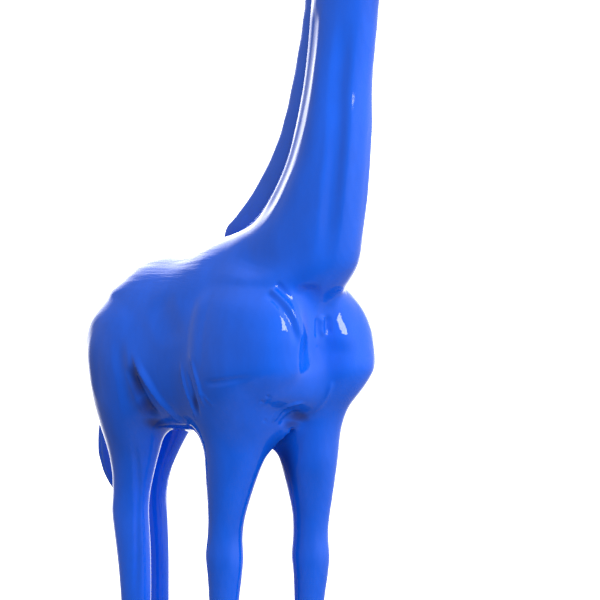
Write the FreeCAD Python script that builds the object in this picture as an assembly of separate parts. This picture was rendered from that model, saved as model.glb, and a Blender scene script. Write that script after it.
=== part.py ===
"""Standing giraffe statue, about 2.4 m tall, in lacquered glass-fibre reinforced resin.

The statue is a thin moulded skin over a welded steel frame. The skin comes in left and right
halves for the trunk, neck and head, and in outer and inner halves for each leg. Hooves, mane,
tail, ears, horns and eyes are cast on their own and pinned or bonded on.
Every shape is in millimetres, +Z up, with the giraffe facing -Y and its left side at +X.
"""
import FreeCAD, Part
import math
import os

from FreeCAD import Vector

# ---------------------------------------------------------------- driving dimensions
WALL = 5.0                # laminate thickness of every moulded skin
RING_POINTS = 12          # points on each section curve
ORIGIN_SHIFT_Y = 115.5    # moves the middle of the statue's length onto the origin

LEG_SEAM_Z = 880.0        # legs join the trunk in this level plane
NECK_SEAM_Z = 1480.0      # neck joins the trunk in this level plane
HOOF_TOP_Z = 96.0         # leg skin ends here and the hoof begins
KNEE_Z = 585.0            # legs are plumb below knee and hock
HOCK_Z = 620.0
BODY_TOP_Z = 1380.0       # a leg's step forward or back dies out at this height

# how far each foot stands from the mean stance: x outward, y backward
STEP = {
    "front_right": (-5.0, 80.0),
    "front_left": (-5.0, -80.0),
    "hind_right": (5.0, -75.0),
    "hind_left": (5.0, 75.0),
}

STEP_EASE = 0.9           # how much of the step is taken up early, in the forearm and thigh

# trunk, by station along Y: y, top z, bottom z, half width, z of widest level
TRUNK = [
    (-320, 1240, 1075, 45, 1140),
    (-300, 1300, 990, 110, 1140),
    (-250, 1370, 940, 165, 1140),
    (-170, 1430, 915, 190, 1150),
    (-60, 1450, 905, 200, 1150),
    (80, 1428, 905, 208, 1140),
    (220, 1416, 935, 205, 1150),
    (330, 1372, 990, 180, 1150),
    (415, 1290, 1040, 130, 1140),
    (464, 1200, 1080, 50, 1140),
]
TRUNK_POWER = 0.92

# neck, by height: z, front y, back y, half width
NECK = [
    (1130, -300, -120, 120),
    (1300, -400, -30, 130),
    (1380, -466, -60, 126),
    (1450, -499, -120, 116),
    (1520, -511, -190, 102),
    (1620, -524, -262, 86),
    (1750, -536, -318, 73),
    (1900, -547, -352, 64),
    (2080, -568, -378, 61),
    (2200, -580, -398, 59),
    (2290, -590, -450, 50),
]
NECK_EGG = 0.08           # the neck is narrower along its crest than at the throat

# front leg with its shoulder, by height: z, x of centre, half width, front y, back y
FRONT_LEG = [
    (1345, 92, 45, -335, -170),
    (1290, 100, 86, -402, -120),
    (1200, 105, 106, -438, -90),
    (1130, 106, 108, -432, -80),
    (1060, 100, 98, -384, -75),
    (1000, 92, 84, -328, -80),
    (930, 86, 74, -300, -94),
    (860, 86, 65, -286, -108),
    (790, 90, 54, -266, -120),
    (730, 93, 46, -249, -131),
    (680, 94, 42, -236, -137),
    (635, 94, 42, -231, -136),
    (585, 94, 45, -236, -128),
    (530, 94, 41, -230, -136),
    (450, 93, 36, -217, -139),
    (300, 92, 30, -209, -144),
    (200, 92, 37, -216, -134),
    (145, 92, 34, -226, -148),
    (96, 92, 42, -246, -142),
]
FRONT_HOOF = [(96, 92, 42, -246, -142), (50, 92, 49, -260, -136), (0, 92, 54, -272, -132)]

# hind leg with its haunch, by height, in the same columns
HIND_LEG = [
    (1290, 104, 40, 250, 330),
    (1225, 116, 84, 150, 430),
    (1120, 122, 100, 100, 462),
    (1000, 118, 92, 140, 456),
    (900, 108, 70, 215, 446),
    (830, 100, 52, 255, 438),
    (760, 95, 44, 290, 432),
    (700, 93, 40, 312, 438),
    (650, 92, 38, 318, 450),
    (600, 92, 38, 315, 442),
    (540, 92, 37, 311, 430),
    (460, 92, 34, 309, 418),
    (300, 92, 32, 311, 404),
    (200, 92, 37, 300, 402),
    (145, 92, 34, 290, 380),
    (96, 92, 42, 272, 380),
]
HIND_HOOF = [(96, 92, 42, 272, 380), (50, 92, 48, 260, 385), (0, 92, 53, 248, 390)]

# head, along its own axis from the poll: distance forward, top, bottom, half width
HEAD = [
    (-52, -30, -85, 28),
    (-24, 4, -116, 56),
    (22, 24, -142, 70),
    (78, 30, -148, 74),
    (134, 22, -138, 66),
    (200, 2, -122, 53),
    (265, -16, -112, 44),
    (320, -28, -110, 42),
    (362, -40, -110, 40),
    (386, -58, -102, 26),
]
POLL = Vector(0, -462, 2296)
HEAD_PITCH = 17.0         # nose below the level, in degrees
HEAD_SEAM = Vector(0, -500, 2105)   # a point in the seam plane, which tilts with the head

# mane, by height: z, y inside the crest, free edge y, half thickness
MANE = [
    (1440, -190, -40, 12),
    (1462, -196, -10, 20),
    (1492, -208, -20, 26),
    (1530, -250, -66, 29),
    (1620, -320, -155, 31),
    (1750, -375, -240, 31),
    (1900, -400, -291, 30),
    (2050, -420, -326, 29),
    (2200, -440, -348, 26),
    (2290, -440, -372, 18),
    (2318, -440, -395, 8),
]
MANE_EGG = 0.3            # the mane thins towards its free edge

# tail, by height: z, front y, back y, half width
TAIL_STEM = [(1262, 400, 446, 20), (1200, 440, 505, 22), (1120, 486, 534, 19),
             (1020, 520, 558, 15), (905, 527, 562, 14)]
TAIL_TUFT = [(905, 527, 562, 14), (850, 518, 580, 22), (790, 506, 580, 28),
             (735, 497, 560, 25), (692, 492, 534, 15), (668, 496, 513, 5)]

# ears, along their own axis: distance, half width, front y, back y
EAR = [(0, 15, -13, 13), (22, 22, -14, 13), (55, 34, -15, 12), (95, 36, -13, 9),
       (130, 24, -9, 6), (156, 6, -4, 2)]
EAR_SKIN = 6.0            # thickness left behind the hollow of the ear
EAR_BASE = (52.0, 6.0, -22.0)     # x, y and z in the head's frame
EAR_AXIS = (0.86, 0.24, 0.44)

# horns, by distance from the skull: distance, radius
OSSICONE = [(-30, 21), (0, 20), (30, 17), (60, 15.5), (80, 17), (94, 18.5), (106, 16), (113, 8)]
OSSICONE_BASE = (32.0, -22.0, 12.0)
OSSICONE_AXIS = (0.13, 0.52, 0.84)

EYE_R = 22.0
EYE_SPOT = (47.0, -118.0, -24.0)
NOSTRIL_R = 9.0
NOSTRIL_SPOT = (45.5, -354.0, -60.0)
MOUTH_DEPTH = 2.5
MOUTH_HEIGHT = 3.0
MOUTH_LEVEL = -84.0       # in the head's frame
MOUTH_CORNER = 222.0      # how far ahead of the poll the mouth ends

HOOF_CLEFT_WIDTH = 16.0
HOOF_CLEFT_DEPTH = 34.0

# armature
ROD_R = 10.0              # leg rods are solid round bar
ROD_Y = {"front": -183.0, "hind": 340.0}      # below the knee and hock, before the step
CROSSBAR_R = 16.0
CROSSBAR_HALF = 108.0
SPINE_R, SPINE_BORE = 21.0, 18.0
SPINE_Z = 1190.0
CROSSBAR_Y = {"front": -205.0, "hind": 285.0}
NECK_TUBE_R, NECK_TUBE_BORE = 17.0, 14.0
NECK_TUBE_PATH = [(-205, 1190), (-262, 1360), (-352, 1540), (-428, 1760), (-466, 1980), (-492, 2190)]
RIB_THICK = 12.0
RIB_INSET = 12.0          # rib edges lie this far inside the outer surface, bedded on filler
RIB_Y = {"torso_rib_front": -130.0, "torso_rib_rear": 215.0}
RIB_FLOOR_Z = 925.0       # the trunk ribs stop short of the belly
RIB_HOLE_R = 42.0
RIB_HOLE_X = 88.0
NECK_RIB_Z = {"neck_rib_lower": 1640.0, "neck_rib_upper": 1960.0, "head_rib": 2160.0}
SEAM_STRIP_HALF = 20.0
SEAM_STRIP_THICK = 3.0
SLEEVE_BELOW, SLEEVE_ABOVE = 34.0, 18.0       # how far a leg's joining sleeve laps each way
SLEEVE_THICK = 4.0
PLUG_TOP_Z = 150.0        # cast plug that beds each rod in the foot of its leg
ANCHOR_R, ANCHOR_LENGTH = 11.0, 52.0
ANCHOR_BORE_R, ANCHOR_BORE_LENGTH = 4.25, 35.0     # tapping size for an M10 bolt
PIN_R = 3.0
TAIL_ROOT = (0.0, 452.0, 1222.0)
TAIL_PIN_AXIS = (0.0, 0.62, -0.78)
TAIL_PIN_REACH = (60.0, 50.0)     # how far each pin runs into the body, and out into the piece
HORN_PIN_REACH = (25.0, 55.0)
EAR_PIN_REACH = (15.0, 40.0)

OUT = "parts"


# ---------------------------------------------------------------- section curves
def signed_power(value, power):
    return math.copysign(abs(value) ** power, value)


def closed_curve(points):
    curve = Part.BSplineCurve()
    curve.interpolate(Points=points, PeriodicFlag=True)
    return Part.Wire([curve.toShape()])


def level_ring(z, x_mid, half_width, y_front, y_back, egg=0.0):
    """A closed level section; egg makes its back narrower than its front."""
    y_mid, half_depth = (y_front + y_back) / 2, (y_back - y_front) / 2
    points = []
    for i in range(RING_POINTS):
        a = 2 * math.pi * i / RING_POINTS
        x = x_mid + half_width * math.cos(a) * (1 - egg * math.sin(a))
        points.append(Vector(x, y_mid + half_depth * math.sin(a), z))
    return closed_curve(points)


def cross_ring(y, top, bottom, half_width, z_mid, power=1.0):
    """A closed section across the trunk or head, at one station along Y."""
    points = []
    for i in range(RING_POINTS):
        a = 2 * math.pi * i / RING_POINTS
        reach = (top - z_mid) if math.sin(a) > 0 else (z_mid - bottom)
        x = half_width * signed_power(math.cos(a), power)
        points.append(Vector(x, y, z_mid + reach * signed_power(math.sin(a), power)))
    return closed_curve(points)


def skin(rings):
    return Part.makeLoft(rings, True, False)


# ---------------------------------------------------------------- outer and inner volumes
def trunk(inset):
    rings = []
    for i, (y, top, bottom, half, z_mid) in enumerate(TRUNK):
        if i == 0:
            y += inset
        if i == len(TRUNK) - 1:
            y -= inset
        rings.append(cross_ring(y, top - inset, bottom + inset, half - inset, z_mid, TRUNK_POWER))
    return skin(rings)


def neck(inset):
    return skin([
        level_ring(z - inset, 0, half - inset, front + inset, back - inset, NECK_EGG)
        for z, front, back, half in NECK
    ])


def step_at(leg, z):
    """How far a leg is stepped at height z: in full below the knee or hock, none at the body."""
    joint_z = KNEE_Z if leg.startswith("front") else HOCK_Z
    down = min(1.0, max(0.0, (BODY_TOP_Z - z) / (BODY_TOP_Z - joint_z)))
    share = down + STEP_EASE * down * down * (1 - down)
    return STEP[leg][0] * share, STEP[leg][1] * share


def side_of(leg):
    return 1.0 if leg.endswith("left") else -1.0


def column(leg, rows, inset):
    """A leg, or the part of it that rows describe, with its skin inset."""
    rings = []
    for z, x, half, front, back in rows:
        out, step = step_at(leg, z)
        rings.append(level_ring(z, side_of(leg) * (x + out), half - inset,
                                front + step + inset, back + step - inset))
    return skin(rings)


def leg_volume(leg, inset):
    rows = list(FRONT_LEG if leg.startswith("front") else HIND_LEG)
    top = rows[0]
    rows[0] = (top[0] - inset,) + top[1:]
    return column(leg, rows, inset)


def head_place(shape):
    """Carries a shape from the head's own frame, nose along -Y from the poll, to the statue."""
    turned = shape.copy()
    turned.rotate(Vector(0, 0, 0), Vector(1, 0, 0), HEAD_PITCH)
    turned.translate(POLL)
    return turned


def head(inset):
    rings = []
    last = len(HEAD) - 1
    for i, (ahead, top, bottom, half) in enumerate(HEAD):
        along = ahead + (inset if i == 0 else -inset if i == last else 0)
        z_mid = 0.45 * top + 0.55 * bottom
        rings.append(cross_ring(-along, top - inset, bottom + inset, half - inset, z_mid, 0.95))
    return head_place(skin(list(reversed(rings))))


LEGS = ("front_left", "front_right", "hind_left", "hind_right")
SIDES = {"left": 1.0, "right": -1.0}
BIG = 1500.0              # half the side of a block that clears the whole statue
TOP = 3000.0
MIDDLE_Y = 60.0           # front legs lie ahead of this plane, hind legs behind it


def slab(low, high):
    """A box between two opposite corners, each given as x, y, z."""
    size = Vector(*high) - Vector(*low)
    return Part.makeBox(size.x, size.y, size.z, Vector(*low))


def half_block(side, low_z, high_z, x=0.0):
    """Everything further along the given side than x, between two heights."""
    if side > 0:
        return slab((x, -BIG, low_z), (BIG, BIG, high_z))
    return slab((-BIG, -BIG, low_z), (x, BIG, high_z))


def head_side():
    """Everything above the seam plane behind the jaw."""
    block = slab((-BIG, -BIG, 0), (BIG, BIG, BIG))
    block.rotate(Vector(0, 0, 0), Vector(1, 0, 0), HEAD_PITCH)
    block.translate(HEAD_SEAM)
    return block


def leg_block(leg, side, x):
    """The room around one leg below its seam, on one side of x."""
    front, back = (-BIG, MIDDLE_Y) if leg.startswith("front") else (MIDDLE_Y, BIG)
    outer_x, inner_x = side_of(leg) * BIG, 0.0
    far_x = outer_x if side == side_of(leg) else inner_x
    low_x, high_x = min(x, far_x), max(x, far_x)
    return slab((low_x, front, 0), (high_x, back, LEG_SEAM_Z))


def body(inset):
    """The whole body as one volume, with every surface moved in by inset."""
    parts = [leg_volume(leg, inset) for leg in LEGS]
    whole = trunk(inset)
    for part in parts + [neck(inset), head(inset)]:
        whole = whole.fuse(part)
    return whole


# ---------------------------------------------------------------- cast pieces
def head_vector(spot, side):
    return head_place(Part.Vertex(side * spot[0], spot[1], spot[2])).Point


def head_direction(axis, side):
    turn = FreeCAD.Rotation(Vector(1, 0, 0), HEAD_PITCH)
    return turn.multVec(Vector(side * axis[0], axis[1], axis[2])).normalize()


def stand_on(shape, base, axis, facing):
    """Places a shape built along +Z with its face to -Y, on base, along axis."""
    placed = shape.copy()
    turn = FreeCAD.Rotation(Vector(), facing * -1, axis, "ZYX")
    placed.Placement = FreeCAD.Placement(base, turn)
    return placed


def ear(side):
    leaf = skin([level_ring(z, 0, half, front, back) for z, half, front, back in EAR])
    hollow = skin([
        level_ring(z, 0, half - EAR_SKIN, front - 2 * EAR_SKIN, back - EAR_SKIN)
        for z, half, front, back in EAR[1:-1]
    ])
    base = head_vector(EAR_BASE, side)
    axis = head_direction(EAR_AXIS, side)
    return stand_on(leaf.cut(hollow), base, axis, Vector(0, -1, 0))


def ossicone(side):
    rings = [Part.Wire([Part.makeCircle(r, Vector(0, 0, z))]) for z, r in OSSICONE]
    axis = head_direction(OSSICONE_AXIS, side)
    return stand_on(skin(rings), head_vector(OSSICONE_BASE, side), axis, Vector(0, -1, 0))


def eye(side):
    return Part.makeSphere(EYE_R, head_vector(EYE_SPOT, side))


def nostril(side):
    return Part.makeSphere(NOSTRIL_R, head_vector(NOSTRIL_SPOT, side))


def mouth_groove():
    lips = slab((-BIG, -BIG, MOUTH_LEVEL), (BIG, -MOUTH_CORNER, MOUTH_LEVEL + MOUTH_HEIGHT))
    return head_place(lips).common(head(0).cut(head(MOUTH_DEPTH)))


def mane():
    return skin([level_ring(z, 0, half, front, back, MANE_EGG) for z, front, back, half in MANE])


def tail_part(rows):
    return skin([level_ring(z, 0, half, front, back) for z, front, back, half in rows])


def hoof(leg):
    rows = FRONT_HOOF if leg.startswith("front") else HIND_HOOF
    solid = column(leg, rows, 0)
    out, step = step_at(leg, 0)
    x, front = side_of(leg) * (rows[-1][1] + out), rows[-1][3] + step
    tip = Vector(x, front + HOOF_CLEFT_DEPTH, -1)
    mouth = [Vector(x + s * HOOF_CLEFT_WIDTH / 2, front - 10, -1) for s in (-1, 1)]
    wedge = Part.Face(Part.makePolygon([tip, mouth[0], mouth[1], tip]))
    return solid.cut(wedge.extrude(Vector(0, 0, HOOF_TOP_Z - 20)))


# ---------------------------------------------------------------- armature
def bar(start, end, radius):
    run = end - start
    return Part.makeCylinder(radius, run.Length, start, run)


def crossbar(end):
    middle = Vector(0, CROSSBAR_Y[end], SPINE_Z)
    reach = Vector(CROSSBAR_HALF, 0, 0)
    return bar(middle - reach, middle + reach, CROSSBAR_R)


def spine(radius):
    ends = [Vector(0, CROSSBAR_Y[end], SPINE_Z) for end in ("front", "hind")]
    return bar(ends[0], ends[1], radius)


def neck_tube(radius):
    path = Part.BSplineCurve()
    path.interpolate(Points=[Vector(0, y, z) for y, z in NECK_TUBE_PATH])
    start = path.value(path.FirstParameter)
    way = path.tangent(path.FirstParameter)[0]
    ring = Part.Wire([Part.makeCircle(radius, start, way)])
    return Part.Wire([path.toShape()]).makePipeShell([ring], True, False)


def rod_line(leg):
    """Foot, bend and top of a leg rod."""
    end = leg.split("_")[0]
    bend_z = KNEE_Z if end == "front" else HOCK_Z
    out, step = step_at(leg, 0)
    x = side_of(leg) * (FRONT_HOOF[-1][1] + out)
    y = ROD_Y[end] + step
    top = Vector(x, CROSSBAR_Y[end], SPINE_Z)
    return Vector(x, y, ANCHOR_LENGTH), Vector(x, y, bend_z + 35), top


def leg_rod(leg):
    foot, bend, top = rod_line(leg)
    rod = bar(foot, bend, ROD_R).fuse(Part.makeSphere(ROD_R, bend))
    return rod.fuse(bar(bend, top, ROD_R)).removeSplitter()


def anchor(leg, bored=True):
    foot = rod_line(leg)[0]
    spot = Vector(foot.x, foot.y, 0)
    block = Part.makeCylinder(ANCHOR_R, ANCHOR_LENGTH, spot)
    if bored:
        block = block.cut(Part.makeCylinder(ANCHOR_BORE_R, ANCHOR_BORE_LENGTH, spot))
    return block


def pin(root, axis, reach):
    """A round pin through the skin at root, reaching back into the body and out along axis."""
    return bar(root - axis * reach[0], root + axis * reach[1], PIN_R)


def horn_pin(side):
    return pin(head_vector(OSSICONE_BASE, side), head_direction(OSSICONE_AXIS, side), HORN_PIN_REACH)


def ear_pin(side):
    return pin(head_vector(EAR_BASE, side), head_direction(EAR_AXIS, side), EAR_PIN_REACH)


def tail_pin():
    return pin(Vector(*TAIL_ROOT), Vector(*TAIL_PIN_AXIS).normalize(), TAIL_PIN_REACH)


# ---------------------------------------------------------------- output
def save(name, *shapes):
    solids = [solid for shape in shapes for solid in shape.Solids]
    whole = solids[0].copy() if len(solids) == 1 else Part.Compound(solids)
    whole.translate(Vector(0, ORIGIN_SHIFT_Y, 0))
    whole.exportStep(os.path.join(OUT, name + ".step"))
    print("%-24s %d solids, valid %s, %.0f cm3" % (
        name, len(solids), whole.isValid(), whole.Volume / 1000))


def largest(shape):
    return max(shape.Solids, key=lambda solid: solid.Volume)


def build_skin(outer, hollow, head_block):
    """The moulded skin: cut open for the eyes and pins, then divided along its seams."""
    shell = outer.cut(hollow).cut(mouth_groove()).cut(tail_pin())
    for sign in SIDES.values():
        for opening in (eye(sign), nostril(sign), horn_pin(sign), ear_pin(sign)):
            shell = shell.cut(opening)
    for side, sign in SIDES.items():
        save("torso_shell_" + side, shell.common(half_block(sign, LEG_SEAM_Z, NECK_SEAM_Z)))
        top_half = shell.common(half_block(sign, NECK_SEAM_Z, TOP))
        save("neck_shell_" + side, top_half.cut(head_block))
        save("head_shell_" + side, top_half.common(head_block))
    for leg in LEGS:
        line = rod_line(leg)[0].x
        save("leg_%s_outer" % leg, shell.common(leg_block(leg, side_of(leg), line)))
        save("leg_%s_inner" % leg, shell.common(leg_block(leg, -side_of(leg), line)))


def build_frame():
    """The welded steel frame, coped where tubes meet, and the hooves cast on its feet."""
    bars = {end: crossbar(end) for end in CROSSBAR_Y}
    save("shoulder_crossbar", bars["front"])
    save("hip_crossbar", bars["hind"])
    save("spine_tube", spine(SPINE_R).cut(bars["front"]).cut(bars["hind"]).cut(spine(SPINE_BORE)))
    neck_steel = neck_tube(NECK_TUBE_R).cut(neck_tube(NECK_TUBE_BORE))
    save("neck_tube", largest(neck_steel.cut(bars["front"]).cut(spine(SPINE_R))))
    for leg in LEGS:
        rod = leg_rod(leg)
        save("leg_rod_" + leg, largest(rod.cut(bars[leg.split("_")[0]])))
        save("hoof_anchor_" + leg, anchor(leg))
        save("hoof_" + leg, hoof(leg).cut(anchor(leg, bored=False)).cut(rod))
        toe = slab((-BIG, -BIG, HOOF_TOP_Z), (BIG, BIG, PLUG_TOP_Z))
        save("leg_plug_" + leg, leg_volume(leg, WALL).common(toe).cut(rod))


def build_lining(hollow, head_block):
    """Bonding strips behind the middle seam, and a sleeve behind each leg seam."""
    middle = slab((-SEAM_STRIP_HALF, -BIG, LEG_SEAM_Z), (SEAM_STRIP_HALF, BIG, TOP))
    strip = hollow.cut(body(WALL + SEAM_STRIP_THICK)).common(middle).cut(tail_pin())
    low_block = slab((-BIG, -BIG, 0), (BIG, BIG, NECK_SEAM_Z))
    save("torso_seam_strip", strip.common(low_block))
    save("neck_seam_strip", strip.cut(low_block).cut(head_block))
    save("head_seam_strip", strip.common(head_block))
    for leg in LEGS:
        low, high = LEG_SEAM_Z - SLEEVE_BELOW, LEG_SEAM_Z + SLEEVE_ABOVE
        band = slab((-BIG, -BIG, low), (BIG, BIG, high))
        sleeve = leg_volume(leg, WALL).common(band).cut(leg_volume(leg, WALL + SLEEVE_THICK))
        save("leg_sleeve_" + leg, sleeve.cut(strip))


def build_ribs():
    """The plates that carry the skin on the frame, each bedded on a bead of filler."""
    bed = body(RIB_INSET)
    for name, y in RIB_Y.items():
        plate = slab((-BIG, y, RIB_FLOOR_Z), (BIG, y + RIB_THICK, TOP)).common(bed)
        for sign in SIDES.values():
            at = Vector(sign * RIB_HOLE_X, y, SPINE_Z)
            plate = plate.cut(Part.makeCylinder(RIB_HOLE_R, RIB_THICK, at, Vector(0, 1, 0)))
        save(name, plate.cut(spine(SPINE_R)))
    for name, z in NECK_RIB_Z.items():
        plate = slab((-BIG, -BIG, z), (BIG, BIG, z + RIB_THICK)).common(bed)
        save(name, plate.cut(neck_tube(NECK_TUBE_R)))


def build_cast_pieces(outer):
    save("mane", mane().cut(outer))
    for side, sign in SIDES.items():
        save("eye_" + side, eye(sign))
        save("ossicone_" + side, ossicone(sign).cut(outer).cut(horn_pin(sign)))
        save("ear_" + side, ear(sign).cut(outer).cut(ear_pin(sign)))
        save("head_pins_" + side, horn_pin(sign), ear_pin(sign))
    save("tail_pin", tail_pin())
    save("tail_stem", tail_part(TAIL_STEM).cut(outer).cut(tail_pin()))
    save("tail_tuft", tail_part(TAIL_TUFT))


def main():
    os.makedirs(OUT, exist_ok=True)
    outer = body(0)
    hollow = body(WALL)
    head_block = head_side()
    build_skin(outer, hollow, head_block)
    build_frame()
    build_lining(hollow, head_block)
    build_ribs()
    build_cast_pieces(outer)


main()
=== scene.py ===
"""Looks of the standing giraffe statue: smooth moulded skin in high-gloss blue lacquer."""
import math

import bmesh
import bpy
import numpy as np
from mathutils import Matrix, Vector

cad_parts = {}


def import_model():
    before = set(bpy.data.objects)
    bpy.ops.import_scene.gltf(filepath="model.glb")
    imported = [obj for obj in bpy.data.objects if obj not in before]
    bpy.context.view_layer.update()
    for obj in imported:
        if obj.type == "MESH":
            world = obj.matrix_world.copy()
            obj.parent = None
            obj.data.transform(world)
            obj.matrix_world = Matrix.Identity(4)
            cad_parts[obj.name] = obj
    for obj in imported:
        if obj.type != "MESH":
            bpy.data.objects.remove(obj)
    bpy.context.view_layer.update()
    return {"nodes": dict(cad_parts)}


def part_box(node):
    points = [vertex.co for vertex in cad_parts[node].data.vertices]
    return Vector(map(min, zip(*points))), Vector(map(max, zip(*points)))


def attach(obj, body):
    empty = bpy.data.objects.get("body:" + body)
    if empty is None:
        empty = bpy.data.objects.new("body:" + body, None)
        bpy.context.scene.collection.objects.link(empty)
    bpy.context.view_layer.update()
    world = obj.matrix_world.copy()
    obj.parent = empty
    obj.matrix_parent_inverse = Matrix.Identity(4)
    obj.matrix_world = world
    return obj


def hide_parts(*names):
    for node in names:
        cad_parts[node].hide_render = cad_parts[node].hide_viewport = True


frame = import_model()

import openvdb
from mathutils import Vector

MM = 0.001
SIDES = {"left": 1.0, "right": -1.0}
LEGS = ("front_left", "front_right", "hind_left", "hind_right")


def middle(node):
    low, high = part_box(node)
    return (Vector(low) + Vector(high)) / 2


# The tables below are in millimetres, with y measured so that the shoulder crossbar is at -205.
SHOULDER_BAR_Y = -205.0
Y0 = middle("shoulder_crossbar").y - SHOULDER_BAR_Y * MM
HOOF_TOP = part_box("hoof_front_left")[1][2]
LEG_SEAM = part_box("torso_shell_left")[0][2]
NECK_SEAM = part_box("torso_shell_left")[1][2]
COAT = 5.0                    # filler and lacquer over the laminate, in table units
SKIN_WALL = 5.0 * MM

# how far each foot stands from the mean stance: x outward, y backward
STEP = {
    "front_right": (-5.0, 80.0),
    "front_left": (-5.0, -80.0),
    "hind_right": (5.0, -75.0),
    "hind_left": (5.0, 75.0),
}
KNEE_Z, HOCK_Z, BODY_TOP_Z = 585.0, 620.0, 1380.0
STEP_EASE = 0.9

# trunk: y, top z, bottom z, half width, z of widest level
TRUNK = [
    (-320, 1240, 1075, 45, 1140),
    (-300, 1300, 990, 110, 1140),
    (-250, 1370, 940, 165, 1140),
    (-170, 1430, 915, 190, 1150),
    (-60, 1450, 905, 200, 1150),
    (80, 1428, 905, 208, 1140),
    (220, 1416, 935, 205, 1150),
    (330, 1372, 990, 180, 1150),
    (415, 1290, 1040, 130, 1140),
    (464, 1200, 1080, 50, 1140),
]
TRUNK_ROUNDNESS = 2.17

# neck: z, front y, back y, half width
NECK = [
    (1130, -300, -120, 118),
    (1300, -400, -30, 128),
    (1360, -458, -20, 124),
    (1410, -494, -15, 118),
    (1463, -504, -70, 112),
    (1516, -511, -172, 102),
    (1570, -518, -222, 93),
    (1673, -530, -287, 79),
    (1777, -539, -324, 70),
    (1880, -545, -349, 64),
    (1990, -559, -365, 61),
    (2080, -569, -374, 60),
    (2200, -578, -396, 58),
    (2290, -582, -450, 48),
]
NECK_EGG = 0.08
LIMB_SPREAD = 15.0            # how far a change of section is evened out along trunk, neck and legs

# front leg with its shoulder: z, x of centre, half width, front y, back y
FRONT_LEG = [
    (1345, 92, 45, -335, -170),
    (1290, 100, 86, -402, -120),
    (1200, 105, 106, -430, -90),
    (1130, 106, 108, -429, -80),
    (1060, 100, 98, -384, -75),
    (1000, 92, 84, -328, -80),
    (930, 86, 74, -300, -94),
    (860, 86, 65, -286, -108),
    (790, 90, 54, -266, -120),
    (730, 93, 46, -249, -131),
    (680, 94, 42, -236, -137),
    (635, 94, 42, -231, -136),
    (585, 94, 45, -236, -128),
    (530, 94, 41, -230, -136),
    (450, 93, 36, -217, -139),
    (300, 92, 30, -209, -144),
    (200, 92, 37, -216, -134),
    (145, 92, 34, -226, -148),
    (60, 92, 42, -250, -142),
]

# hind leg with its haunch, in the same columns
HIND_LEG = [
    (1290, 104, 40, 250, 330),
    (1225, 116, 84, 150, 430),
    (1120, 122, 100, 100, 462),
    (1000, 118, 92, 140, 456),
    (900, 108, 70, 215, 446),
    (830, 100, 52, 255, 438),
    (760, 95, 44, 290, 432),
    (700, 93, 40, 312, 438),
    (650, 92, 38, 318, 450),
    (600, 92, 38, 315, 442),
    (540, 92, 37, 311, 430),
    (460, 92, 34, 309, 418),
    (300, 92, 32, 311, 404),
    (200, 92, 37, 300, 402),
    (145, 92, 34, 290, 380),
    (60, 92, 42, 266, 382),
]

# head, from the poll along its own axis: distance ahead, top, bottom, half width
HEAD = [
    (-52, -30, -85, 28),
    (-24, 4, -116, 56),
    (22, 24, -142, 70),
    (78, 30, -148, 74),
    (134, 22, -138, 66),
    (200, 2, -122, 53),
    (265, -16, -112, 44),
    (320, -28, -110, 42),
    (362, -40, -110, 40),
    (386, -58, -102, 26),
]
POLL = (0.0, -462.0, 2296.0)
HEAD_PITCH = math.radians(17.0)
HEAD_SEAM = (0.0, -500.0, 2122.0)


def placed(name, data):
    """A new object in the scene."""
    obj = bpy.data.objects.new(name, data)
    bpy.context.scene.collection.objects.link(obj)
    return obj


def shade_smooth(mesh):
    mesh.polygons.foreach_set("use_smooth", np.ones(len(mesh.polygons), dtype=bool))


# ---------------------------------------------------------------- tables to smooth curves
def hermite(t, a, b, leaving, arriving):
    """Cubic from a to b at t (0 to 1), with the given slopes over the whole run."""
    t2, t3 = t * t, t * t * t
    return ((2 * t3 - 3 * t2 + 1) * a + (t3 - 2 * t2 + t) * leaving
            + (3 * t2 - 2 * t3) * b + (t3 - t2) * arriving)


def pchip(rows):
    """Shape-keeping cubic through the rows: gives every column as a function of the first."""
    table = np.array(sorted(rows), dtype=np.float64)
    x, y = table[:, 0], table[:, 1:]
    h = np.diff(x)[:, None]
    rise = np.diff(y, axis=0) / h
    slope = np.zeros_like(y)
    same = (rise[:-1] * rise[1:]) > 0
    w1, w2 = 2 * h[1:] + h[:-1], h[1:] + 2 * h[:-1]
    with np.errstate(divide="ignore", invalid="ignore"):
        inner = (w1 + w2) / (w1 / rise[:-1] + w2 / rise[1:])
    slope[1:-1] = np.where(same, inner, 0.0)
    slope[0], slope[-1] = rise[0], rise[-1]

    def at(q):
        q = np.clip(np.asarray(q, dtype=np.float64), x[0], x[-1])
        i = np.clip(np.searchsorted(x, q) - 1, 0, len(x) - 2)
        t = ((q - x[i]) / h[i, 0])[..., None]
        return hermite(t, y[i], y[i + 1], slope[i] * h[i], slope[i + 1] * h[i])

    return at


def eased(rows, spread):
    """The same curve evened out over a distance, so that its curvature has no breaks."""
    base = pchip(rows)
    low, high = min(row[0] for row in rows), max(row[0] for row in rows)
    reach, step = 12, spread / 4
    xs = np.arange(low - reach * step, high + (reach + 1) * step, step)
    inside = np.clip(xs, low, high)
    end_slope = np.where((xs < low)[:, None], base(low + 1.0) - base(low), base(high) - base(high - 1.0))
    values = base(inside) + (xs - inside)[:, None] * end_slope
    kernel = np.exp(-0.5 * (np.arange(-reach, reach + 1) / 4) ** 2)
    kernel /= kernel.sum()
    values = np.stack([np.convolve(column, kernel, "valid") for column in values.T], axis=1)
    xs = xs[reach:-reach]

    def at(q):
        return np.stack([np.interp(q, xs, column) for column in values.T], axis=-1)

    return at


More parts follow.
